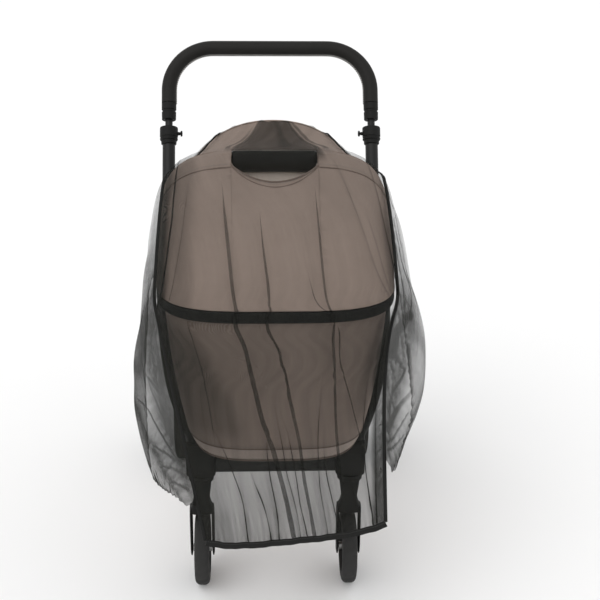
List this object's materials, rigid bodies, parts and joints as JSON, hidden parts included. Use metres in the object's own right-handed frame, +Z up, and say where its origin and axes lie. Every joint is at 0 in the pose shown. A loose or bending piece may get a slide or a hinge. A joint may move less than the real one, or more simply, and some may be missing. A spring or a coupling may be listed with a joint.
{
  "type": "mosquito net on pram carrycot",
  "caption": "Sheer elasticated mosquito net draped over a hooded pram carrycot on its plain wheeled chassis, its front hem held out low.",
  "frame": {"origin": "on the ground, under the middle of the whole object's box", "axes": "+Z up, +X across the pram, -Y towards the head end of the cot and the net's front hem, +Y towards the push bar"},
  "size_m": [0.555, 0.9942, 0.982],
  "materials": {
    "net": "sheer mesh",
    "tape": "woven tape",
    "cot_cloth": "matt plain weave",
    "rim_tape": "woven webbing",
    "grip_leather": "grained imitation leather",
    "tyre": "matt",
    "chassis_plastic": "matt",
    "chassis_metal": "satin black"
  },
  "bodies": {
    "root": {"cot_tub": "cot_cloth", "rim_band": "rim_tape", "hood_front": "cot_cloth", "hood_rear": "cot_cloth", "hood_bow_left": "cot_cloth", "hood_bow_right": "cot_cloth", "grip": "grip_leather", "net_centre": "net", "binding_left": "tape", "binding_right": "tape", "hem_band": "tape", "net_side_left": "net", "net_side_right": "net", "push_bar": "grip_leather", "lower_tube_left": "chassis_metal", "sleeve_left": "chassis_plastic", "neck_left": "chassis_metal", "collar_left": "chassis_plastic", "hub_left": "chassis_plastic", "arm_left": "chassis_metal", "cot_mount_left": "chassis_plastic", "rear_leg_left": "chassis_metal", "fork_block_left": "chassis_plastic", "fork_collar_left": "chassis_plastic", "fork_left": "chassis_plastic", "front_wheel_left_tyre": "tyre", "front_wheel_left_disc": "chassis_plastic", "front_axle_left": "chassis_metal", "rear_wheel_left_tyre": "tyre", "rear_wheel_left_disc": "chassis_plastic", "lower_tube_right": "chassis_metal", "sleeve_right": "chassis_plastic", "neck_right": "chassis_metal", "collar_right": "chassis_plastic", "hub_right": "chassis_plastic", "arm_right": "chassis_metal", "cot_mount_right": "chassis_plastic", "rear_leg_right": "chassis_metal", "fork_block_right": "chassis_plastic", "fork_collar_right": "chassis_plastic", "fork_right": "chassis_plastic", "front_wheel_right_tyre": "tyre", "front_wheel_right_disc": "chassis_plastic", "front_axle_right": "chassis_metal", "rear_wheel_right_tyre": "tyre", "rear_wheel_right_disc": "chassis_plastic", "front_crossbar": "chassis_metal", "rear_axle": "chassis_metal"}
  },
  "joints": []
}
